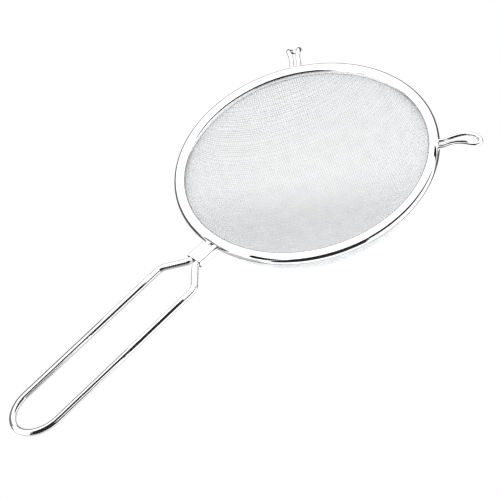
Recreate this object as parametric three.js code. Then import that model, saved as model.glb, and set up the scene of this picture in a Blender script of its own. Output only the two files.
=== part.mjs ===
// Double sieve strainer: a round bowl of two nested wire cloths, held by a rolled sheet rim
// with a wire hoop inside it, a fixed hairpin handle with a sheet sleeve at its neck,
// and two wire rests opposite the handle that lie on the edge of a bucket or a honey tank.
// Units are millimetres, +Z is up. The bowl's axis is vertical and the handle points to -X.
// The finished group's origin is at the bottom centre of its bounding box.

import * as THREE from 'three';

// Bowl and cloths. Heights in this part are measured from the rim's flat top, downwards negative.
const RIM_RADIUS = 95;
const BOWL_RADIUS = 90;
const BOWL_DEPTH = 46;
const BOWL_START = -5;
const BOWL_FULLNESS = 2.4;
const CLOTH_THICKNESS = 0.6;
const CLEARANCE = 0.3;
const CLOTH_TOP = -2;

// Rim: one strip of sheet, rolled into a bead over the hoop and open underneath where the cloths come out.
// The roll angles say how far each edge is turned down past the widest point of the bead.
const SHEET = 0.6;
const RIM_INNER_RADIUS = 86.6;
const RIM_BEND = 3.75;
const RIM_INNER_ROLL = THREE.MathUtils.degToRad(40);
const RIM_OUTER_ROLL = THREE.MathUtils.degToRad(100);
const HOOP_WIRE = 3.4;

// Handle: one wire bent to a hairpin, its end a little longer than a half circle.
// The legs dip along the neck and then run down more gently to the end.
const HANDLE_WIRE = 4.8;
const HANDLE_REACH = 280.9;
const HANDLE_HALF_WIDTH = 17;
const HANDLE_END_LENGTH = 22;
const HANDLE_SHOULDER = 129;
const HANDLE_SPREAD_START = 114.2;
const HANDLE_NECK_HALF_WIDTH = 3.1;
const HANDLE_HEIGHT = -4.3;
const HANDLE_NECK_SLOPE = THREE.MathUtils.degToRad(6);
const HANDLE_SLOPE = THREE.MathUtils.degToRad(2);
const HANDLE_SLOPE_START = 112;
const NECK_BEND = 5;
const SHOULDER_BEND = 9;

// Collar: a strip of thin sheet folded round both handle wires, its seam underneath.
const COLLAR_SHEET = 0.6;
const COLLAR_START = 97.2;
const COLLAR_LENGTH = 14.8;
const COLLAR_HALF_WIDTH = 6.4;
const COLLAR_HALF_HEIGHT = 3.3;
const COLLAR_BEND = 1.7;
const COLLAR_SEAM = 0.6;

// Rests: two bent wires. Both leave the rim level, rise to a crest and turn down to the tip of the eye.
// They are bent by hand, so the left one is turned down further than the right one.
// crest and tip are [reach from the bowl's axis, height] of the wire's middle line.
const REST_WIRE = 3.2;
const REST_ANGLE = THREE.MathUtils.degToRad(48.6);
const REST_LEG_HALF_WIDTH = 2.65;
const REST_LEVEL_LENGTH = 3;
const REST_CLIMB_LENGTH = 8;
const REST_LEFT = {
  base: -1.9,
  crest: [107.5, 1.4],
  tip: [117.2, -7.8],
  crestHalfWidth: 3.5,
  eyeHalfWidth: 3.9,
};
const REST_RIGHT = {
  base: -2.2,
  crest: [111, 0.8],
  tip: [123.6, -3.6],
  crestHalfWidth: 3.6,
  eyeHalfWidth: 4.4,
};

// How finely the round shapes are divided.
const RIM_SEGMENTS = 72;
const RIM_BEND_DIVISIONS = 4;
const HOOP_SIDES = 8;
const CLOTH_SEGMENTS = 48;
const CLOTH_STEPS = 10;
const HANDLE_SIDES = 12;
const HANDLE_BEND_STEPS = 3;
const HANDLE_END_STEPS = 9;
const COLLAR_BEND_DIVISIONS = 5;
const REST_SIDES = 10;
const REST_STEPS = 36;

const polished = { color: 0xdfe2e4, roughness: 0.12, metalness: 1 };
const woven = { color: 0xc4c7c9, roughness: 0.35, metalness: 1 };

function makeMesh(name, geometry, look) {
  const mesh = new THREE.Mesh(geometry, new THREE.MeshStandardMaterial(look));
  mesh.name = name;
  return mesh;
}

// Turns a profile (x = radius, y = height) about the vertical axis.
function revolve(profile, segments) {
  return new THREE.LatheGeometry(profile, segments).rotateX(Math.PI / 2);
}

// Outline of a strip of the given thickness whose middle line is the path, as one list of points.
function stripOutline(path, thickness, divisions) {
  const middle = path.getPoints(divisions);
  const sides = [thickness / 2, -thickness / 2].map((shift) => middle.map((point, index) => {
    const before = middle[Math.max(index - 1, 0)];
    const after = middle[Math.min(index + 1, middle.length - 1)];
    const along = after.clone().sub(before).normalize();
    return new THREE.Vector2(point.x + along.y * shift, point.y - along.x * shift);
  }));
  return [...sides[0], ...sides[1].reverse()];
}

// The rolled rim: from its inner edge up over the flat top, then out, down and back under the hoop.
function makeRim() {
  const inner = RIM_INNER_RADIUS + RIM_BEND;
  const outer = RIM_RADIUS - RIM_BEND;
  const bend = RIM_BEND - SHEET / 2;
  const quarter = Math.PI / 2;
  const path = new THREE.Path();
  path.absarc(inner, -RIM_BEND, bend, Math.PI + RIM_INNER_ROLL, quarter, true);
  path.absarc(outer, -RIM_BEND, bend, quarter, -RIM_OUTER_ROLL, true);
  const outline = stripOutline(path, SHEET, RIM_BEND_DIVISIONS);
  outline.push(outline[0].clone());
  return makeMesh('rim', revolve(outline, RIM_SEGMENTS), polished);
}

// The round wire inside the bead that the edges of both cloths lie against.
function makeHoop() {
  const radius = BOWL_RADIUS + 2 * CLEARANCE + HOOP_WIRE / 2;
  const ring = new THREE.TorusGeometry(radius, HOOP_WIRE / 2, HOOP_SIDES, RIM_SEGMENTS);
  const hoop = makeMesh('rim_hoop', ring, polished);
  hoop.position.z = -RIM_BEND;
  return hoop;
}

// One face of the bowl, from its bottom to its straight top edge, inset from the outermost face.
function bowlFace(inset) {
  const face = [];
  for (let step = 0; step <= CLOTH_STEPS; step += 1) {
    const turn = (Math.PI / 2) * (step / CLOTH_STEPS);
    const radius = (BOWL_RADIUS - inset) * Math.sin(turn) ** (2 / BOWL_FULLNESS);
    face.push(new THREE.Vector2(radius, BOWL_START - (BOWL_DEPTH - inset) * Math.cos(turn)));
  }
  face.push(new THREE.Vector2(BOWL_RADIUS - inset, CLOTH_TOP));
  return face;
}

function makeCloth(name, inset) {
  const profile = [...bowlFace(inset), ...bowlFace(inset + CLOTH_THICKNESS).reverse()];
  return makeMesh(name, revolve(profile, CLOTH_SEGMENTS), woven);
}

// A curve through fixed stations, so that a tube along it gets one ring at each station.
class StationCurve extends THREE.Curve {
  constructor(stations) {
    super();
    this.stations = stations;
  }

  getPoint(t, target = new THREE.Vector3()) {
    const place = THREE.MathUtils.clamp(t, 0, 1) * (this.stations.length - 1);
    const index = Math.min(Math.floor(place), this.stations.length - 2);
    return target.lerpVectors(this.stations[index], this.stations[index + 1], place - index);
  }

  getUtoTmapping(u) {
    return u;
  }
}

// Stations round one corner of a flat route, on an arc that touches both of its sides.
function cornerStations(before, corner, after, radius, steps) {
  const back = before.clone().sub(corner).normalize();
  const ahead = after.clone().sub(corner).normalize();
  const halfAngle = back.angleTo(ahead) / 2;
  const centre = back.clone().add(ahead).normalize().multiplyScalar(radius / Math.sin(halfAngle)).add(corner);
  const start = back.clone().multiplyScalar(radius / Math.tan(halfAngle)).add(corner).sub(centre);
  const turn = Math.sign(ahead.x * back.y - ahead.y * back.x) * (Math.PI - 2 * halfAngle);
  const stations = [];
  for (let step = 0; step <= steps; step += 1) {
    stations.push(start.clone().applyAxisAngle(new THREE.Vector3(0, 0, 1), (turn * step) / steps).add(centre));
  }
  return stations;
}

function wireAlong(curve, diameter, sides, steps) {
  const section = new THREE.Shape();
  for (let side = 0; side < sides; side += 1) {
    const angle = (2 * Math.PI * side) / sides;
    const move = side === 0 ? 'moveTo' : 'lineTo';
    section[move]((diameter / 2) * Math.cos(angle), (diameter / 2) * Math.sin(angle));
  }
  return new THREE.ExtrudeGeometry(section, { steps, extrudePath: curve, bevelEnabled: false });
}

// Height of the handle's middle line at a reach from the bowl's axis.
function handleHeight(reach) {
  const beyond = Math.max(reach - HANDLE_SLOPE_START, 0);
  const neck = Math.min(beyond, HANDLE_SHOULDER - HANDLE_SLOPE_START);
  return HANDLE_HEIGHT - neck * Math.tan(HANDLE_NECK_SLOPE) - (beyond - neck) * Math.tan(HANDLE_SLOPE);
}

// The hairpin handle: two legs side by side from the rim, spreading at the neck, joined by a round end.
function makeHandle() {
  const straight = HANDLE_REACH - HANDLE_END_LENGTH;
  const corners = [
    [RIM_RADIUS + CLEARANCE, HANDLE_NECK_HALF_WIDTH],
    [HANDLE_SPREAD_START, HANDLE_NECK_HALF_WIDTH],
    [HANDLE_SHOULDER, HANDLE_HALF_WIDTH],
    [straight, HANDLE_HALF_WIDTH],
  ].map(([reach, side]) => new THREE.Vector3(reach, side, 0));
  const leg = [
    corners[0],
    ...cornerStations(...corners.slice(0, 3), NECK_BEND, HANDLE_BEND_STEPS),
    ...cornerStations(...corners.slice(1, 4), SHOULDER_BEND, HANDLE_BEND_STEPS),
    corners[3],
  ];
  const end = [];
  for (let step = 1; step < HANDLE_END_STEPS; step += 1) {
    const turn = (Math.PI * step) / HANDLE_END_STEPS;
    const reach = straight + HANDLE_END_LENGTH * Math.sin(turn);
    end.push(new THREE.Vector3(reach, HANDLE_HALF_WIDTH * Math.cos(turn), 0));
  }
  const otherLeg = leg.map((station) => new THREE.Vector3(station.x, -station.y, 0)).reverse();
  const route = [...leg, ...end, ...otherLeg]
    .map((station) => new THREE.Vector3(-station.x, station.y, handleHeight(station.x)));
  const wire = wireAlong(new StationCurve(route), HANDLE_WIRE, HANDLE_SIDES, route.length - 1);
  return makeMesh('handle', wire, polished);
}

// The sleeve folded round the handle's neck: a flattened ring of sheet, open along its seam.
function makeCollar() {
  const side = COLLAR_HALF_WIDTH - COLLAR_SHEET / 2;
  const height = COLLAR_HALF_HEIGHT - COLLAR_SHEET / 2;
  const cornerSide = side - COLLAR_BEND;
  const cornerHeight = height - COLLAR_BEND;
  const quarter = Math.PI / 2;
  const path = new THREE.Path();
  path.moveTo(COLLAR_SEAM / 2, -height);
  path.absarc(cornerSide, -cornerHeight, COLLAR_BEND, -quarter, 0, false);
  path.absarc(cornerSide, cornerHeight, COLLAR_BEND, 0, quarter, false);
  path.absarc(-cornerSide, cornerHeight, COLLAR_BEND, quarter, 2 * quarter, false);
  path.absarc(-cornerSide, -cornerHeight, COLLAR_BEND, 2 * quarter, 3 * quarter, false);
  path.lineTo(-COLLAR_SEAM / 2, -height);
  const section = new THREE.Shape(stripOutline(path, COLLAR_SHEET, COLLAR_BEND_DIVISIONS));
  const geometry = new THREE.ExtrudeGeometry(section, { depth: COLLAR_LENGTH, bevelEnabled: false });
  const collar = makeMesh('handle_collar', geometry, polished);
  collar.rotation.set(0, Math.PI / 2, Math.PI / 2);
  collar.position.set(-COLLAR_START - COLLAR_LENGTH, 0, HANDLE_HEIGHT);
  return collar;
}

// One rest: a hairpin wire whose legs leave the rim side by side and open into a small eye.
// The fractions place the wire between the foot, the crest and the tip.
function makeRest(name, rest, angle) {
  const foot = RIM_RADIUS + CLEARANCE;
  const [crestReach, crestHeight] = rest.crest;
  const [tipReach, tipHeight] = rest.tip;
  const rise = crestHeight - rest.base;
  const fall = crestHeight - tipHeight;
  const reach = tipReach - crestReach;
  const leg = [
    [foot, REST_LEG_HALF_WIDTH, rest.base],
    [foot + REST_LEVEL_LENGTH, REST_LEG_HALF_WIDTH, rest.base + rise * 0.1],
    [foot + REST_CLIMB_LENGTH, REST_LEG_HALF_WIDTH, rest.base + rise * 0.65],
    [crestReach, rest.crestHalfWidth, crestHeight],
    [crestReach + reach * 0.45, rest.eyeHalfWidth, crestHeight - fall * 0.3],
    [crestReach + reach * 0.82, rest.eyeHalfWidth * 0.82, crestHeight - fall * 0.75],
  ];
  const tip = [tipReach, 0, tipHeight];
  const mirrored = leg.map(([out, side, height]) => [out, -side, height]).reverse();
  const points = [...leg, tip, ...mirrored].map((point) => new THREE.Vector3(...point));
  const wire = wireAlong(new THREE.CatmullRomCurve3(points), REST_WIRE, REST_SIDES, REST_STEPS);
  const mesh = makeMesh(name, wire, polished);
  mesh.rotation.z = angle;
  return mesh;
}

function makeStrainer() {
  const strainer = new THREE.Group();
  strainer.add(
    makeRim(),
    makeHoop(),
    makeCloth('outer_sieve_cloth', 0),
    makeCloth('inner_sieve_cloth', CLOTH_THICKNESS + CLEARANCE),
    makeHandle(),
    makeCollar(),
    makeRest('rest_left', REST_LEFT, REST_ANGLE),
    makeRest('rest_right', REST_RIGHT, -REST_ANGLE),
  );
  const handleTip = -HANDLE_REACH - HANDLE_WIRE / 2;
  strainer.position.set(-(RIM_RADIUS + handleTip) / 2, 0, BOWL_DEPTH - BOWL_START);
  return new THREE.Group().add(strainer);
}

export default makeStrainer();
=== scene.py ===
"""Double sieve strainer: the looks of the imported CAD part.

A bowl of two real woven wire cloths hangs in a rolled steel rim. A hairpin handle with a folded
sleeve is fixed to the rim, and two bent wire rests stand opposite it. They are polished steel wire
and sheet; the cloths are duller drawn wire. The studio is white. Lengths are metres and +Z is up.
Shapes are made in the bowl's own coordinates: the origin is on the bowl's axis at the height of the
rim's flat top, and the handle points to -X. new_piece() moves them to their place in the frame.
"""

import math

import bpy
import numpy as np
from mathutils import Matrix, Vector


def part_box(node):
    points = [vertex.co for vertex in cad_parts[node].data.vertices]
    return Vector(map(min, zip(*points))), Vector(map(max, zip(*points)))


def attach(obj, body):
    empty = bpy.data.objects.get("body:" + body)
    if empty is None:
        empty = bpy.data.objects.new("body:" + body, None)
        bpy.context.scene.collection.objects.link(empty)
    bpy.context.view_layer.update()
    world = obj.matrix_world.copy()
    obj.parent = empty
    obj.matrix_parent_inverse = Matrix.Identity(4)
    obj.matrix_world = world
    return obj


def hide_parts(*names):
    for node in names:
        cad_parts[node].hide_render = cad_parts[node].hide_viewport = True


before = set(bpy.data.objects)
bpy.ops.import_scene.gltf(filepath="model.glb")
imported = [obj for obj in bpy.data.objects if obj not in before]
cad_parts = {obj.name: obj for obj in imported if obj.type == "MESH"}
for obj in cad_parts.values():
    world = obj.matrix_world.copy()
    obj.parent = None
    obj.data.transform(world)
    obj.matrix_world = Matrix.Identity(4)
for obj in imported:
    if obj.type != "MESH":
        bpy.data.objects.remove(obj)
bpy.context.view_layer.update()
MM = 0.001
QUARTER = math.pi / 2
BODY = "root"

# Places and sizes that the frame gives.
RIM_LOW, RIM_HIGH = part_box("rim")
HOOP_LOW, HOOP_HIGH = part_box("rim_hoop")
OUTER_LOW, OUTER_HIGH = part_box("outer_sieve_cloth")
INNER_LOW, INNER_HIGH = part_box("inner_sieve_cloth")
COLLAR_LOW, COLLAR_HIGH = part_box("handle_collar")
ORIGIN = Vector(((OUTER_LOW.x + OUTER_HIGH.x) / 2, 0, RIM_HIGH.z))
RIM_RADIUS = (RIM_HIGH.y - RIM_LOW.y) / 2

# Rim: sheet rolled into a bead, with the two edges turned down past the bead's widest points.
SHEET = 0.6 * MM
RIM_INNER_RADIUS = 86.6 * MM
RIM_BEND = 3.75 * MM
RIM_INNER_ROLL = math.radians(40)
RIM_OUTER_ROLL = math.radians(100)
RIM_SEGMENTS = 288
RIM_ARC_STEPS = 20
RIM_LIP_STEPS = 4
HOOP_SIDES = 20

# Bowl: a superellipse that runs up into a short straight wall inside the rim.
BOWL_START = -5 * MM
BOWL_FULLNESS = 2.4
MERIDIAN_STEPS = 4000
CLOTH_THICKNESS = 0.6 * MM
CLOTH_WIRE = 0.28 * MM
CLOTH_WIRE_SIDES = 4
UV_FILL = 0.9
WEAVE_AZIMUTH = math.radians(58)
INNER_PITCH = (1.63 * MM, 1.63 * MM)
OUTER_PITCH = (1.04 * MM, 1.63 * MM)

# Draping: how far the cloth is laid out, in bowl radii, and how its crossings are found. The longest
# step and the shortest diagonal are shares of the pitch, and the tolerance is one of its square.
# A wire is left out when it has no more crossings than SHORTEST_WIRE.
CLOTH_SPAN = 1.45
SOLVER_STEPS = 12
LONGEST_STEP = 0.5
LENGTH_TOLERANCE = 1e-3
SHORTEST_DIAGONAL = 0.25
ROWS_PAST_THE_TOP = 3
SHORTEST_WIRE = 2

# Handle: the hairpin's corners, as [reach from the bowl's axis, half width].
HANDLE_WIRE = 4.8 * MM
HANDLE_CORNERS = [(94.2 * MM, 3.1 * MM), (114.2 * MM, 3.1 * MM), (129.0 * MM, 17.0 * MM)]
HANDLE_BENDS = [5 * MM, 9 * MM]
HANDLE_REACH = 280.9 * MM
HANDLE_END_LENGTH = 22 * MM
HANDLE_HEIGHT = -4.3 * MM
HANDLE_NECK_SLOPE = math.tan(math.radians(6))
HANDLE_SLOPE = math.tan(math.radians(2))
HANDLE_SLOPE_START = 112 * MM
HANDLE_BEND_STEPS = 24
HANDLE_END_STEPS = 72
WIRE_SIDES = 28
WIRE_STEP = 1.0 * MM

# Collar: thin sheet folded round both handle wires, its seam underneath.
COLLAR_BEND = 1.7 * MM
COLLAR_SEAM = 0.6 * MM
COLLAR_BEND_STEPS = 8
COLLAR_EDGE_STEPS = 4
COLLAR_LENGTH_STEPS = 12
COLLAR_THINNEST_EDGE = 0.25

# Rests: base is the height at which the legs leave the rim. crest and tip are [reach from the
# bowl's axis, height] of the wire's middle line, at its highest place and at the end of the eye.
REST_WIRE = 3.2 * MM
REST_ANGLE = math.radians(48.6)
REST_LEG_HALF_WIDTH = 2.65 * MM
REST_FOOT_DEPTH = 1.2 * MM
REST_STEPS = 12
# Where a leg's points lie: [reach past the rim, share of the climb to the crest] on the way up, and
# [share of the way to the tip, share of the fall, share of the eye's half width] on the way down.
REST_CLIMB = [(3.3 * MM, 0.1), (8.3 * MM, 0.65)]
REST_EYE = [(0.45, 0.3, 1), (0.82, 0.75, 0.82)]
REST_LEFT = {
    "base": -1.9 * MM,
    "crest": (107.5 * MM, 1.4 * MM),
    "tip": (117.2 * MM, -7.8 * MM),
    "crest_half_width": 3.5 * MM,
    "eye_half_width": 3.9 * MM,
}
REST_RIGHT = {
    "base": -2.2 * MM,
    "crest": (111 * MM, 0.8 * MM),
    "tip": (123.6 * MM, -3.6 * MM),
    "crest_half_width": 3.6 * MM,
    "eye_half_width": 4.4 * MM,
}

# Materials: the part of a noise's range that is spread over the whole variation.
NOISE_RANGE = (0.3, 0.7)

# Camera: its place seen from the middle of the rim's top, the point it aims at, and its roll.
CAMERA_AZIMUTH = math.radians(-123.87)
CAMERA_ELEVATION = math.radians(44.63)
CAMERA_DISTANCE = 1.6
CAMERA_AIM = Vector((-84.46 * MM, -29.18 * MM, 0))
CAMERA_ROLL = math.radians(18.75)
CAMERA_LENS = 164.27
CAMERA_SENSOR = 36.0

# Studio: a white tent. What is behind the strainer, low down, is dim, and gives its wires their
# outlines. [azimuth from, azimuth to, elevation from, elevation to] in degrees; azimuth 0 points
# straight away from the camera.
TENT_LIGHT = 1.5
DIM_FAR_FLOOR = (-78, 78, -82, 6)
DIM_EDGE = 12
DIMNESS = 0.93
# Flags: cards that are seen only in reflections. Each has a brightness and its corners as
# [towards the camera, towards image right, height] in mm from the middle of the rim's top.
# front, top and low stand on the camera's side, and side to the right of them. handle, behind and
# under lie along the handle. rest hangs over the right rest. shade lies on the floor past the bowl.
FLAGS = {
    "flag_front": (0.02, [(450, -430, -190), (450, -440, 0), (450, 225, 0), (450, 190, -190)]),
    "flag_top": (0.02, [(450, -440, 0), (5000, -3300, 4250), (5000, 2650, 4250), (450, 225, 0)]),
    "flag_handle": (0.02, [(248, -243, 28), (198, -277, 70), (78, -98, 70), (128, -64, 28)]),
    "flag_behind": (0.25, [(117, -319, -8), (26, -182, -8), (26, -182, 62), (117, -319, 62)]),
    "flag_under": (0.6, [(217, -252, -45), (88, -59, -45), (17, -106, -45), (147, -299, -45)]),
    "flag_rest": (0.02, [(30.5, 88.2, 6), (37, 111, 6), (26.5, 114, 6), (20.5, 90.8, 6)]),
    "flag_shade": (0.05, [(-130, -110, -51), (-75, -110, -51), (-75, 110, -51), (-130, 110, -51)]),
    "flag_side": (0.02, [(450, 225, 0), (450, 225, 370), (-60, 620, 310), (-60, 620, 140)]),
    "flag_low": (0.4, [(450, -430, -190), (450, 190, -190), (450, 200, -290), (450, -440, -290)]),
}
# Shade: a gradient on the floor that stands for the bowl's soft shadow. Only the camera sees it.
# It is part of a disc whose middle lies away from the camera, and it is turned a little to one side.
# [where it begins, where it is full] is measured from that middle.
SHADE_MIDDLE = -50 * MM
SHADE_TURN = math.radians(-15)
SHADE_RIM = (102 * MM, 88 * MM)
SHADE_DEPTH = (14 * MM, 68 * MM)
SHADE_HEIGHT = 0.05 * MM
SHADE_DARKEST = 0.64
BACKDROP_RADIUS = 6.0
BACKDROP_RINGS = 12
BACKDROP_SIDES = 32


# ---------------------------------------------------------------- meshes

def new_piece(name, points, faces, material, node):
    """A polished piece from points in the bowl's coordinates, in the place of one CAD node."""
    mesh = bpy.data.meshes.new(name)
    mesh.from_pydata((np.asarray(points) + np.array(ORIGIN)).tolist(), [], faces)
    mesh.polygons.foreach_set("use_smooth", [True] * len(mesh.polygons))
    mesh.materials.append(material)
    piece = bpy.data.objects.new(name, mesh)
    bpy.context.scene.collection.objects.link(piece)
    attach(piece, BODY)
    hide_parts(node)


def grid_faces(rows, columns, close_rows, close_columns):
    """Quads between rows of points, each row holding the given number of columns."""
    faces = []
    for row in range(rows if close_rows else rows - 1):
        above = (row + 1) % rows
        for column in range(columns if close_columns else columns - 1):
            beside = (column + 1) % columns
            faces.append((
                row * columns + column,
                row * columns + beside,
                above * columns + beside,
                above * columns + column,
            ))
    return faces


def revolve(profile, segments):
    """Points and quads of a closed profile (radius, height) turned about the bowl's axis."""
    profile = np.asarray(profile)
    turn = np.linspace(0, 2 * math.pi, segments, endpoint=False)
    ring = np.stack([np.cos(turn), np.sin(turn)], 1)
    points = np.empty((segments, len(profile), 3))
    points[..., :2] = ring[:, None, :] * profile[None, :, :1]
    points[..., 2] = profile[None, :, 1]
    return points.reshape(-1, 3), grid_faces(segments, len(profile), True, True)


def arc(centre, radius, start, end, steps):
    """Points on an arc in the plane, both ends included."""
    angles = np.linspace(start, end, steps + 1)
    return np.stack([centre[0] + radius * np.cos(angles), centre[1] + radius * np.sin(angles)], 1)


def unit(vectors):
    """The same directions with length 1."""
    vectors = np.asarray(vectors, float)
    return vectors / np.linalg.norm(vectors, axis=-1, keepdims=True)


def tube(path, diameter, sides):
    """Points and faces of a round wire along an open path, with flat ends."""
    path = np.asarray(path, float)
    along = unit(np.gradient(path, axis=0))
    across = unit(np.cross(along, (0, 0, 1)))
    above = np.cross(across, along)
    turn = np.linspace(0, 2 * math.pi, sides, endpoint=False)[None, :, None]
    spokes = np.cos(turn) * across[:, None] + np.sin(turn) * above[:, None]
    points = (path[:, None] + spokes * diameter / 2).reshape(-1, 3)
    faces = grid_faces(len(path), sides, False, True)
    last = (len(path) - 1) * sides
    faces.append(tuple(reversed(range(sides))))
    faces.append(tuple(range(last, last + sides)))
    return points, faces


def resample(path, step):
    """The same line with points a fixed step apart."""
    path = np.asarray(path, float)
    lengths = np.r_[0, np.cumsum(np.linalg.norm(np.diff(path, axis=0), axis=1))]
    stations = np.linspace(0, lengths[-1], max(2, round(lengths[-1] / step)))
    return np.stack([np.interp(stations, lengths, path[:, axis]) for axis in range(3)], 1)


def turned(points, angle):
    """The points turned about the bowl's axis."""
    cosine, sine = math.cos(angle), math.sin(angle)
    return np.asarray(points) @ np.array([[cosine, sine, 0], [-sine, cosine, 0], [0, 0, 1]])


# ---------------------------------------------------------------- materials

def new_material(name):
    """A material with its nodes and links."""
    material = bpy.data.materials.new(name)
    material.use_nodes = True
    return material, material.node_tree.nodes, material.node_tree.links


def noise_between(nodes, links, scale, detail, low, high):
    """A noise in object space, spread between two values. Returns the socket that carries it."""
    place = nodes.new("ShaderNodeTexCoord")
    noise = nodes.new("ShaderNodeTexNoise")
    noise.inputs["Scale"].default_value = scale
    noise.inputs["Detail"].default_value = detail
    spread = nodes.new("ShaderNodeMapRange")
    spread.inputs["From Min"].default_value = NOISE_RANGE[0]
    spread.inputs["From Max"].default_value = NOISE_RANGE[1]
    spread.inputs["To Min"].default_value = low
    spread.inputs["To Max"].default_value = high
    links.new(place.outputs["Object"], noise.inputs["Vector"])
    links.new(noise.outputs["Fac"], spread.inputs["Value"])
    return spread.outputs["Result"]


def steel(name, metallic, dark, light, tint_scale, roughness, roughness_scale, bump_scale, bump_height):
    """Steel whose tone, gloss and surface all vary a little over the piece."""
    material, nodes, links = new_material(name)
    shader = nodes["Principled BSDF"]
    shader.inputs["Metallic"].default_value = metallic
    tone = nodes.new("ShaderNodeMix")
    tone.data_type = "RGBA"
    tone.inputs["A"].default_value = (*dark, 1)
    tone.inputs["B"].default_value = (*light, 1)
    links.new(noise_between(nodes, links, tint_scale, 4, 0, 1), tone.inputs["Factor"])
    links.new(tone.outputs["Result"], shader.inputs["Base Color"])
    gloss = noise_between(nodes, links, roughness_scale, 3, *roughness)
    links.new(gloss, shader.inputs["Roughness"])
    bump = nodes.new("ShaderNodeBump")
    bump.inputs["Distance"].default_value = bump_height
    links.new(noise_between(nodes, links, bump_scale, 2, 0, 1), bump.inputs["Height"])
    links.new(bump.outputs["Normal"], shader.inputs["Normal"])
    return material


# ---------------------------------------------------------------- rim and hoop

def rim_profile():
    """The rolled strip in section: up the inside, over the flat top, then out, down and back under."""
    inner = (RIM_INNER_RADIUS + RIM_BEND, -RIM_BEND)
    outer = (RIM_RADIUS - RIM_BEND, -RIM_BEND)
    inside = RIM_BEND - SHEET
    outside_line = np.vstack([
        arc(inner, RIM_BEND, math.pi + RIM_INNER_ROLL, QUARTER, RIM_ARC_STEPS),
        arc(outer, RIM_BEND, QUARTER, -RIM_OUTER_ROLL, RIM_ARC_STEPS),
    ])
    inside_line = np.vstack([
        arc(outer, inside, -RIM_OUTER_ROLL, QUARTER, RIM_ARC_STEPS // 2),
        arc(inner, inside, QUARTER, math.pi + RIM_INNER_ROLL, RIM_ARC_STEPS // 2),
    ])
    middle = RIM_BEND - SHEET / 2
    lips = []
    for centre, angle, way in ((outer, -RIM_OUTER_ROLL, -1), (inner, math.pi + RIM_INNER_ROLL, 1)):
        edge = (centre[0] + middle * math.cos(angle), centre[1] + middle * math.sin(angle))
        start = angle if way < 0 else angle + math.pi
        lips.append(arc(edge, SHEET / 2, start, start - math.pi, RIM_LIP_STEPS)[1:-1])
    return np.vstack([outside_line, lips[0], inside_line, lips[1]])


def add_rim(material):
    """The rolled strip, turned about the bowl's axis."""
    points, faces = revolve(rim_profile()[::-1], RIM_SEGMENTS)
    new_piece("rim_bead", points, faces, material, "rim")


def add_hoop(material):
    """The wire ring inside the rim."""
    half_wire = (HOOP_HIGH.z - HOOP_LOW.z) / 2
    centre = ((HOOP_HIGH.y - HOOP_LOW.y) / 2 - half_wire, (HOOP_HIGH.z + HOOP_LOW.z) / 2 - ORIGIN.z)
    section = arc(centre, half_wire, 0, 2 * math.pi, HOOP_SIDES)[:-1]
    points, faces = revolve(section[::-1], RIM_SEGMENTS)
    new_piece("rim_hoop_wire", points, faces, material, "rim_hoop")


# ---------------------------------------------------------------- woven cloths

def meridian_place(radius, depth, lengths):
    """Radius and height of points at these lengths along the bowl's face, measured from its bottom."""
    turn = np.linspace(0, QUARTER, MERIDIAN_STEPS + 1)
    out = radius * np.sin(turn) ** (2 / BOWL_FULLNESS)
    height = -depth * np.cos(turn)
    run = np.r_[0, np.cumsum(np.hypot(np.diff(out), np.diff(height)))]
    beyond = np.maximum(lengths - run[-1], 0)
    return np.interp(lengths, run, out), np.interp(lengths, run, height) + beyond


def face_slope(points, radius, depth):
    """How far points are from the bowl's face, as the superellipse's own value, and its gradient."""
    out = np.maximum(np.hypot(points[:, 0], points[:, 1]), 1e-9)
    below = np.minimum(points[:, 2], 0)
    value = (out / radius) ** BOWL_FULLNESS + (below / depth) ** 2 - 1
    pull = BOWL_FULLNESS * (out / radius) ** (BOWL_FULLNESS - 1) / radius / out
    gradient = np.stack([pull * points[:, 0], pull * points[:, 1], 2 * below / depth**2], 1)
    return value, gradient


def drape(radius, depth, pitch, top):
    """Crossings of a woven cloth that is pressed over the bowl without stretching its wires.

    Returns one quarter of the cloth, crossing [i, j], nan past the top edge. The wires through the
    bottom follow two meridians. Every other crossing is one pitch away from two that are known.
    """
    count = [int(CLOTH_SPAN * radius / step) for step in pitch]
    finest, coarsest = min(pitch), max(pitch)
    cloth = np.full((count[0] + 1, count[1] + 1, 3), np.nan)
    for axis in (0, 1):
        out, height = meridian_place(radius, depth, np.arange(count[axis] + 1) * pitch[axis])
        edge = np.zeros((count[axis] + 1, 3))
        edge[:, axis] = out
        edge[:, 2] = height
        if axis == 0:
            cloth[:, 0] = edge
        else:
            cloth[0] = edge
    for diagonal in range(2, sum(count) + 1):
        i = np.arange(max(1, diagonal - count[1]), min(count[0], diagonal - 1) + 1)
        j = diagonal - i
        side, below, corner = cloth[i, j - 1], cloth[i - 1, j], cloth[i - 1, j - 1]
        known = np.isfinite(side[:, 0] + below[:, 0] + corner[:, 0])
        if not known.any():
            continue
        i, j, side, below, corner = (values[known] for values in (i, j, side, below, corner))
        place = side + below - corner
        for _ in range(SOLVER_STEPS):
            value, gradient = face_slope(place, radius, depth)
            to_side, to_below = place - side, place - below
            errors = np.stack([
                (to_side**2).sum(1) - pitch[1]**2,
                (to_below**2).sum(1) - pitch[0]**2,
                value,
            ], 1)
            slopes = np.stack([2 * to_side, 2 * to_below, gradient], 1)
            step = np.linalg.solve(slopes, errors[..., None])[..., 0]
            length = np.linalg.norm(step, axis=1, keepdims=True)
            place = place - step * np.minimum(1, LONGEST_STEP * finest / np.maximum(length, 1e-12))
        good = np.abs(errors[:, :2]).max(1) < LENGTH_TOLERANCE * finest**2
        good &= place[:, 2] < top + ROWS_PAST_THE_TOP * coarsest
        good &= np.linalg.norm(place - corner, axis=1) > SHORTEST_DIAGONAL * finest
        cloth[i[good], j[good]] = place[good]
    return cloth


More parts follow.
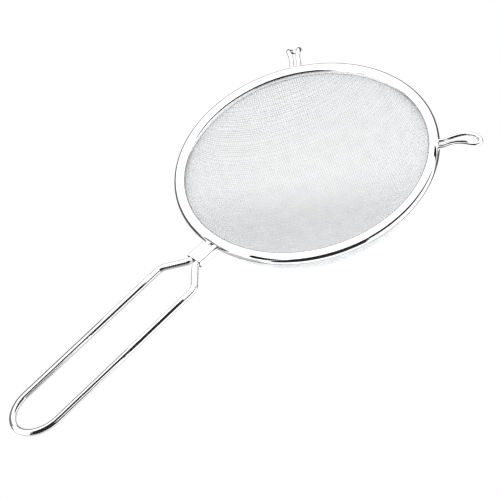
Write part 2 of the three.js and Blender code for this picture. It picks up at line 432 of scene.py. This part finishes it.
def whole_cloth(quarter):
    """All four quarters of the draped cloth, and which of the two wires is on top at each crossing."""
    rows = np.arange(-quarter.shape[0] + 1, quarter.shape[0])
    columns = np.arange(-quarter.shape[1] + 1, quarter.shape[1])
    cloth = quarter[np.abs(rows)][:, np.abs(columns)].copy()
    cloth[..., 0] *= np.where(rows < 0, -1, 1)[:, None]
    cloth[..., 1] *= np.where(columns < 0, -1, 1)[None, :]
    return cloth, (rows[:, None] + columns[None, :]) % 2


def wire_run(points, top):
    """Where the stretches of one wire below the top edge start and end."""
    inside = np.isfinite(points[:, 0]) & (points[:, 2] < top)
    edges = np.flatnonzero(np.diff(np.r_[False, inside, False].astype(int)))
    for start, end in zip(edges[::2], edges[1::2]):
        if end - start > SHORTEST_WIRE:
            yield start, end


def weave_wires(paths, normals, sides, diameter):
    """One mesh of many wires. A wire is a row of rings, one ring at each crossing."""
    points, faces, uvs = [], [], []
    start = 0
    turn = np.linspace(0, 2 * math.pi, sides, endpoint=False)[None, :, None]
    for number, (path, normal) in enumerate(zip(paths, normals)):
        along = unit(np.gradient(path, axis=0))
        across = unit(np.cross(along, normal))
        above = np.cross(across, along)
        spokes = np.cos(turn) * across[:, None] + np.sin(turn) * above[:, None]
        points.append((path[:, None] + spokes * diameter / 2).reshape(-1, 3))
        rows = np.arange(len(path) - 1)[:, None] * sides + start
        columns = np.arange(sides)[None, :]
        beside = (columns + 1) % sides
        quads = np.stack([rows + columns, rows + beside, rows + sides + beside, rows + sides + columns], -1)
        faces.append(quads.reshape(-1, 4))
        low = np.broadcast_to((np.arange(len(path) - 1) / (len(path) - 1))[:, None], quads.shape[:2])
        high = low + 1 / (len(path) - 1)
        left = np.broadcast_to((number + columns / sides) / len(paths), quads.shape[:2])
        right = left + UV_FILL / sides / len(paths)
        uvs.append(np.stack([low, left, low, right, high, right, high, left], -1).reshape(-1, 4, 2))
        start += len(path) * sides
    return np.vstack(points), np.vstack(faces), np.vstack(uvs)


def add_cloth(name, node, low, high, pitch, material):
    """Two families of wires, over and under each other, in the place of one CAD cloth."""
    middle = CLOTH_THICKNESS / 2
    radius = (high.y - low.y) / 2 - middle
    depth = BOWL_START + ORIGIN.z - low.z - middle
    top = high.z - ORIGIN.z - BOWL_START
    cloth, side = whole_cloth(drape(radius, depth, pitch, top))
    flat = cloth.reshape(-1, 3)
    normals = np.full(flat.shape, np.nan)
    real = np.isfinite(flat[:, 0])
    normals[real] = -unit(face_slope(flat[real], radius, depth)[1] + [0, 0, -1e-9])
    normals = normals.reshape(cloth.shape)
    lift = (side * 2 - 1)[..., None] * normals * CLOTH_WIRE / 2
    for family, over in (("warp", 1), ("weft", -1)):
        woven = cloth + over * lift
        if family == "weft":
            lines = [(woven[row], normals[row]) for row in range(woven.shape[0])]
        else:
            lines = [(woven[:, column], normals[:, column]) for column in range(woven.shape[1])]
        paths, ups = [], []
        for path, up in lines:
            for start, end in wire_run(path, top):
                paths.append(path[start:end])
                ups.append(up[start:end])
        points, faces, uvs = weave_wires(paths, ups, CLOTH_WIRE_SIDES, CLOTH_WIRE)
        points = turned(points, WEAVE_AZIMUTH)
        points[:, 2] += BOWL_START
        add_wire_mesh(f"{name}_{family}", points, faces, uvs, material, node)


def add_wire_mesh(name, points, faces, uvs, material, node):
    """A large mesh of quads, written straight into Blender's arrays."""
    mesh = bpy.data.meshes.new(name)
    mesh.vertices.add(len(points))
    mesh.vertices.foreach_set("co", (points + np.array(ORIGIN)).astype(np.float32).ravel())
    mesh.loops.add(faces.size)
    mesh.loops.foreach_set("vertex_index", faces.astype(np.int32).ravel())
    mesh.polygons.add(len(faces))
    mesh.polygons.foreach_set("loop_start", np.arange(0, faces.size, 4, dtype=np.int32))
    mesh.polygons.foreach_set("use_smooth", np.ones(len(faces), bool))
    mesh.uv_layers.new(name="OFBake").data.foreach_set("uv", uvs.astype(np.float32).ravel())
    mesh.update(calc_edges=True)
    mesh.validate()
    mesh.materials.append(material)
    piece = bpy.data.objects.new(name, mesh)
    bpy.context.scene.collection.objects.link(piece)
    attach(piece, BODY)
    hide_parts(node)


# ---------------------------------------------------------------- handle, collar and rests

def rounded_route(corners, radii, steps):
    """A flat route through corners, with an arc of the given radius at each inner corner."""
    route = [corners[0]]
    for before, corner, after, radius in zip(corners, corners[1:], corners[2:], radii):
        back, ahead = unit(before - corner), unit(after - corner)
        half = math.acos(np.clip(back @ ahead, -1, 1)) / 2
        centre = corner + unit(back + ahead) * radius / math.sin(half)
        start = corner + back * radius / math.tan(half) - centre
        end = corner + ahead * radius / math.tan(half) - centre
        turn = math.pi - 2 * half
        for step in range(steps + 1):
            share = step / steps
            spoke = start * math.sin((1 - share) * turn) + end * math.sin(share * turn)
            route.append(centre + spoke / math.sin(turn))
    route.append(corners[-1])
    return np.array(route)


def add_handle(material):
    """The hairpin: two legs that spread at the shoulder, joined by half an ellipse at the end."""
    half_width = HANDLE_CORNERS[-1][1]
    straight = HANDLE_REACH - HANDLE_END_LENGTH
    leg = rounded_route(np.array(HANDLE_CORNERS + [(straight, half_width)]), HANDLE_BENDS, HANDLE_BEND_STEPS)
    end = arc((0, 0), 1, QUARTER, -QUARTER, HANDLE_END_STEPS)
    end = end * [HANDLE_END_LENGTH, half_width] + [straight, 0]
    plan = np.vstack([leg, end[1:-1], leg[::-1] * [1, -1]])
    route = resample(np.column_stack([-plan[:, 0], plan[:, 1], np.zeros(len(plan))]), WIRE_STEP)
    beyond = np.maximum(-route[:, 0] - HANDLE_SLOPE_START, 0)
    neck = np.minimum(beyond, HANDLE_CORNERS[-1][0] - HANDLE_SLOPE_START)
    route[:, 2] = HANDLE_HEIGHT - neck * HANDLE_NECK_SLOPE - (beyond - neck) * HANDLE_SLOPE
    points, faces = tube(route, HANDLE_WIRE, WIRE_SIDES)
    new_piece("handle_wire", points, faces, material, "handle")


def collar_section(half_width, half_height, bend, steps):
    """A flattened ring, from one side of the seam underneath round to the other."""
    side, top = half_width - bend, half_height - bend
    return np.vstack([
        [(COLLAR_SEAM / 2, -half_height)],
        arc((side, -top), bend, -QUARTER, 0, steps),
        arc((side, top), bend, 0, QUARTER, steps),
        arc((-side, top), bend, QUARTER, 2 * QUARTER, steps),
        arc((-side, -top), bend, 2 * QUARTER, 3 * QUARTER, steps),
        [(-COLLAR_SEAM / 2, -half_height)],
    ])


def add_collar(material):
    """The sleeve: a strip bent to a flattened ring, whose two open ends are rounded over."""
    half_width = (COLLAR_HIGH.y - COLLAR_LOW.y) / 2
    half_height = (COLLAR_HIGH.z - COLLAR_LOW.z) / 2
    middle = (COLLAR_HIGH.z + COLLAR_LOW.z) / 2 - ORIGIN.z
    outside = collar_section(half_width, half_height, COLLAR_BEND, COLLAR_BEND_STEPS)
    inside = collar_section(
        half_width - SHEET, half_height - SHEET, COLLAR_BEND - SHEET, COLLAR_BEND_STEPS
    )
    section = np.vstack([outside, inside[::-1]])
    centre = np.vstack([(outside + inside) / 2, ((outside + inside) / 2)[::-1]])
    rows = []
    edge = SHEET / 2
    length = COLLAR_HIGH.x - COLLAR_LOW.x
    turns = np.linspace(0, QUARTER, COLLAR_EDGE_STEPS + 1)
    rounding = [edge * (1 - math.cos(turn)) for turn in turns]
    straight = list(np.linspace(edge, length - edge, COLLAR_LENGTH_STEPS + 1)[1:-1])
    stations = rounding + straight + [length - station for station in rounding[::-1]]
    for station in stations:
        near = min(station, length - station, edge)
        fullness = math.sqrt(max(0, 1 - (1 - near / edge)**2))
        outline = centre + (section - centre) * max(fullness, COLLAR_THINNEST_EDGE)
        row = np.empty((len(outline), 3))
        row[:, 0] = COLLAR_LOW.x - ORIGIN.x + station
        row[:, 1] = outline[:, 0]
        row[:, 2] = middle + outline[:, 1]
        rows.append(row)
    columns = len(section)
    faces = grid_faces(len(rows), columns, False, True)
    half = columns // 2
    last = (len(rows) - 1) * columns
    for column in range(half - 1):
        mate = columns - 1 - column
        faces.append((column, column + 1, mate - 1, mate)[::-1])
        faces.append((last + column, last + column + 1, last + mate - 1, last + mate))
    new_piece("collar_sleeve", np.vstack(rows), faces, material, "handle_collar")


def smooth_through(points, steps):
    """A Catmull-Rom line through the points, with centripetal knots."""
    points = np.asarray(points, float)
    ends = [2 * points[0] - points[1], *points, 2 * points[-1] - points[-2]]
    line = []
    for a, b, c, d in zip(ends, ends[1:], ends[2:], ends[3:]):
        knots = np.r_[0, np.cumsum([math.sqrt(np.linalg.norm(q - p)) for p, q in ((a, b), (b, c), (c, d))])]
        for t in np.linspace(knots[1], knots[2], steps, endpoint=False):
            ab = (a * (knots[1] - t) + b * (t - knots[0])) / (knots[1] - knots[0])
            bc = (b * (knots[2] - t) + c * (t - knots[1])) / (knots[2] - knots[1])
            cd = (c * (knots[3] - t) + d * (t - knots[2])) / (knots[3] - knots[2])
            abc = (ab * (knots[2] - t) + bc * (t - knots[0])) / (knots[2] - knots[0])
            bcd = (bc * (knots[3] - t) + cd * (t - knots[1])) / (knots[3] - knots[1])
            line.append((abc * (knots[2] - t) + bcd * (t - knots[1])) / (knots[2] - knots[1]))
    line.append(points[-1])
    return np.array(line)


def add_rest(name, node, rest, angle, material):
    """A hairpin wire that leaves the rim, rises to a crest and turns down to the tip of its eye."""
    crest_reach, crest_height = rest["crest"]
    tip_reach, tip_height = rest["tip"]
    base = rest["base"]
    rise, fall, reach = crest_height - base, crest_height - tip_height, tip_reach - crest_reach
    leg = [(RIM_RADIUS - REST_FOOT_DEPTH, REST_LEG_HALF_WIDTH, base)]
    for past_rim, climb in REST_CLIMB:
        leg.append((RIM_RADIUS + past_rim, REST_LEG_HALF_WIDTH, base + rise * climb))
    leg.append((crest_reach, rest["crest_half_width"], crest_height))
    for onward, drop, width in REST_EYE:
        half_width = rest["eye_half_width"] * width
        leg.append((crest_reach + reach * onward, half_width, crest_height - fall * drop))
    leg = np.array(leg)
    mirrored = leg[::-1] * [1, -1, 1]
    line = smooth_through([*leg, (tip_reach, 0, tip_height), *mirrored], REST_STEPS)
    points, faces = tube(line, REST_WIRE, WIRE_SIDES)
    points = turned(points, angle)
    new_piece(name, points, faces, material, node)


# ---------------------------------------------------------------- studio and camera

def add_camera():
    """The camera, aimed at one point beside the rim and rolled about its own axis."""
    data = bpy.data.cameras.new("camera")
    data.lens = CAMERA_LENS
    data.sensor_width = CAMERA_SENSOR
    data.clip_end = 2 * BACKDROP_RADIUS
    camera = bpy.data.objects.new("camera", data)
    bpy.context.scene.collection.objects.link(camera)
    bpy.context.scene.camera = camera
    level = math.cos(CAMERA_ELEVATION)
    place = CAMERA_DISTANCE * Vector((
        level * math.cos(CAMERA_AZIMUTH),
        level * math.sin(CAMERA_AZIMUTH),
        math.sin(CAMERA_ELEVATION),
    ))
    forward = (CAMERA_AIM - place).normalized()
    right = forward.cross(Vector((0, 0, 1))).normalized()
    up = right.cross(forward)
    image_right = math.cos(CAMERA_ROLL) * right - math.sin(CAMERA_ROLL) * up
    image_up = math.sin(CAMERA_ROLL) * right + math.cos(CAMERA_ROLL) * up
    axes = Matrix((image_right, image_up, -forward)).transposed()
    camera.matrix_world = Matrix.Translation(place + ORIGIN) @ axes.to_4x4()


def math_node(tree, operation, first, second=None):
    """One Math node. Its inputs are sockets or numbers."""
    node = tree.nodes.new("ShaderNodeMath")
    node.operation = operation
    for socket, value in zip(node.inputs, (first, second)):
        if isinstance(value, (int, float)):
            socket.default_value = value
        elif value is not None:
            tree.links.new(value, socket)
    return node.outputs[0]


def soft_step(tree, value, begins, full):
    """0 where the value begins, rising smoothly to 1 where it is full."""
    step = tree.nodes.new("ShaderNodeMapRange")
    step.interpolation_type = "SMOOTHSTEP"
    step.inputs["From Min"].default_value = begins
    step.inputs["From Max"].default_value = full
    tree.links.new(value, step.inputs["Value"])
    return step.outputs["Result"]


def soft_band(tree, angle, low, high):
    """1 between two angles in degrees, falling smoothly to 0 outside them."""
    middle, half = math.radians((low + high) / 2), math.radians((high - low) / 2)
    edge = math.radians(DIM_EDGE) / 2
    away = math_node(tree, "ABSOLUTE", math_node(tree, "SUBTRACT", angle, middle))
    return soft_step(tree, away, half + edge, half - edge)


def add_studio():
    """The white tent is the world's light. Low down behind the strainer it is dim."""
    world = bpy.data.worlds.new("studio")
    bpy.context.scene.world = world
    world.use_nodes = True
    tree = world.node_tree
    background = tree.nodes["Background"]
    background.inputs["Color"].default_value = (1, 1, 1, 1)
    place = tree.nodes.new("ShaderNodeTexCoord")
    ways = []
    for way in (
        (-math.cos(CAMERA_AZIMUTH), -math.sin(CAMERA_AZIMUTH), 0),
        (math.sin(CAMERA_AZIMUTH), -math.cos(CAMERA_AZIMUTH), 0),
        (0, 0, 1),
    ):
        share = tree.nodes.new("ShaderNodeVectorMath")
        share.operation = "DOT_PRODUCT"
        share.inputs[1].default_value = way
        tree.links.new(place.outputs["Generated"], share.inputs[0])
        ways.append(share.outputs["Value"])
    azimuth = math_node(tree, "ARCTAN2", ways[1], ways[0])
    elevation = math_node(tree, "ARCSINE", ways[2])
    across = soft_band(tree, azimuth, *DIM_FAR_FLOOR[:2])
    upward = soft_band(tree, elevation, *DIM_FAR_FLOOR[2:])
    dim = math_node(tree, "MULTIPLY", math_node(tree, "MULTIPLY", across, upward), DIMNESS)
    light = math_node(tree, "SUBTRACT", 1.0, dim)
    tree.links.new(math_node(tree, "MULTIPLY", light, TENT_LIGHT), background.inputs["Strength"])


def add_card(name, points, faces, material, seen_by):
    """A plain sheet of the set that is seen only by some kinds of ray."""
    mesh = bpy.data.meshes.new(name)
    mesh.from_pydata(points, [], faces)
    mesh.materials.append(material)
    card = bpy.data.objects.new(name, mesh)
    bpy.context.scene.collection.objects.link(card)
    for kind in ("camera", "diffuse", "glossy", "transmission", "volume_scatter", "shadow"):
        setattr(card, f"visible_{kind}", kind in seen_by)
    return card


def even_light(name, brightness):
    """A surface that gives the same light everywhere."""
    material, nodes, links = new_material(name)
    glow = nodes.new("ShaderNodeEmission")
    glow.inputs["Strength"].default_value = brightness
    links.new(glow.outputs["Emission"], nodes["Material Output"].inputs["Surface"])
    return material


def shaded_floor(name):
    """A floor that is dimmer in the shade: inside its disc, on the side that its +X points to."""
    material, nodes, links = new_material(name)
    tree = material.node_tree
    place = nodes.new("ShaderNodeTexCoord")
    reach = nodes.new("ShaderNodeVectorMath")
    reach.operation = "LENGTH"
    links.new(place.outputs["Object"], reach.inputs[0])
    parts = nodes.new("ShaderNodeSeparateXYZ")
    links.new(place.outputs["Object"], parts.inputs[0])
    inside = soft_step(tree, reach.outputs["Value"], *SHADE_RIM)
    nearer = soft_step(tree, parts.outputs["X"], *SHADE_DEPTH)
    shade = math_node(tree, "MULTIPLY", math_node(tree, "MULTIPLY", inside, nearer), 1 - SHADE_DARKEST)
    glow = nodes.new("ShaderNodeEmission")
    links.new(math_node(tree, "SUBTRACT", 1.0, shade), glow.inputs["Strength"])
    links.new(glow.outputs["Emission"], nodes["Material Output"].inputs["Surface"])
    return material


def add_backdrop():
    """A white floor, the shade on it, and a white dome behind. Only the camera sees them."""
    size = BACKDROP_RADIUS
    corners = [(-size, -size, 0), (size, -size, 0), (size, size, 0), (-size, size, 0)]
    add_card("floor", corners, [(0, 1, 2, 3)], even_light("floor_white", 1.0), ("camera",))
    reach = SHADE_RIM[0]
    corners = [(-reach, -reach, 0), (reach, -reach, 0), (reach, reach, 0), (-reach, reach, 0)]
    shade = add_card("floor_shade", corners, [(0, 1, 2, 3)], shaded_floor("floor_shade"), ("camera",))
    facing = Matrix.Rotation(CAMERA_AZIMUTH, 4, "Z")
    under = Matrix.Translation((ORIGIN.x, ORIGIN.y, SHADE_HEIGHT))
    middle = Matrix.Translation((SHADE_MIDDLE, 0, 0))
    shade.matrix_world = under @ facing @ middle @ Matrix.Rotation(SHADE_TURN, 4, "Z")
    rings, sides = BACKDROP_RINGS, BACKDROP_SIDES
    points = [
        (
            size * math.cos(QUARTER * ring / rings) * math.cos(2 * math.pi * side / sides),
            size * math.cos(QUARTER * ring / rings) * math.sin(2 * math.pi * side / sides),
            size * math.sin(QUARTER * ring / rings),
        )
        for ring in range(rings + 1) for side in range(sides)
    ]
    dome = grid_faces(rings + 1, sides, False, True)
    add_card("backdrop", points, dome, even_light("backdrop_white", 1.0), ("camera",))


def add_flags():
    """The dark cards whose reflections draw the black streaks along the rim and the wires."""
    towards = Vector((math.cos(CAMERA_AZIMUTH), math.sin(CAMERA_AZIMUTH), 0))
    axes = (towards, Vector((-towards.y, towards.x, 0)), Vector((0, 0, 1)))
    for name, (brightness, corners) in FLAGS.items():
        points = [
            ORIGIN + sum((axis * (part * MM) for axis, part in zip(axes, corner)), Vector())
            for corner in corners
        ]
        outline = [tuple(range(len(points)))]
        add_card(name, points, outline, even_light(name, brightness), ("glossy",))


def main():
    """The set, then every piece of the strainer."""
    bpy.context.scene.view_settings.view_transform = "Standard"
    add_camera()
    add_studio()
    add_backdrop()
    add_flags()
    polished = steel(
        "polished_steel", metallic=1.0, dark=(0.84, 0.85, 0.86), light=(0.93, 0.93, 0.94),
        tint_scale=40, roughness=(0.03, 0.08), roughness_scale=90,
        bump_scale=180, bump_height=0.02 * MM,
    )
    bright = steel(
        "outer_woven_steel", metallic=0.2, dark=(0.80, 0.81, 0.82), light=(0.88, 0.89, 0.90),
        tint_scale=120, roughness=(0.6, 0.7), roughness_scale=300,
        bump_scale=4000, bump_height=0.01 * MM,
    )
    dull = steel(
        "inner_woven_steel", metallic=0.2, dark=(0.66, 0.67, 0.68), light=(0.74, 0.75, 0.76),
        tint_scale=120, roughness=(0.6, 0.7), roughness_scale=300,
        bump_scale=4000, bump_height=0.01 * MM,
    )
    add_rim(polished)
    add_hoop(polished)
    add_cloth("inner_cloth", "inner_sieve_cloth", INNER_LOW, INNER_HIGH, INNER_PITCH, dull)
    add_cloth("outer_cloth", "outer_sieve_cloth", OUTER_LOW, OUTER_HIGH, OUTER_PITCH, bright)
    add_handle(polished)
    add_collar(polished)
    add_rest("rest_left_wire", "rest_left", REST_LEFT, REST_ANGLE, polished)
    add_rest("rest_right_wire", "rest_right", REST_RIGHT, -REST_ANGLE, polished)


main()
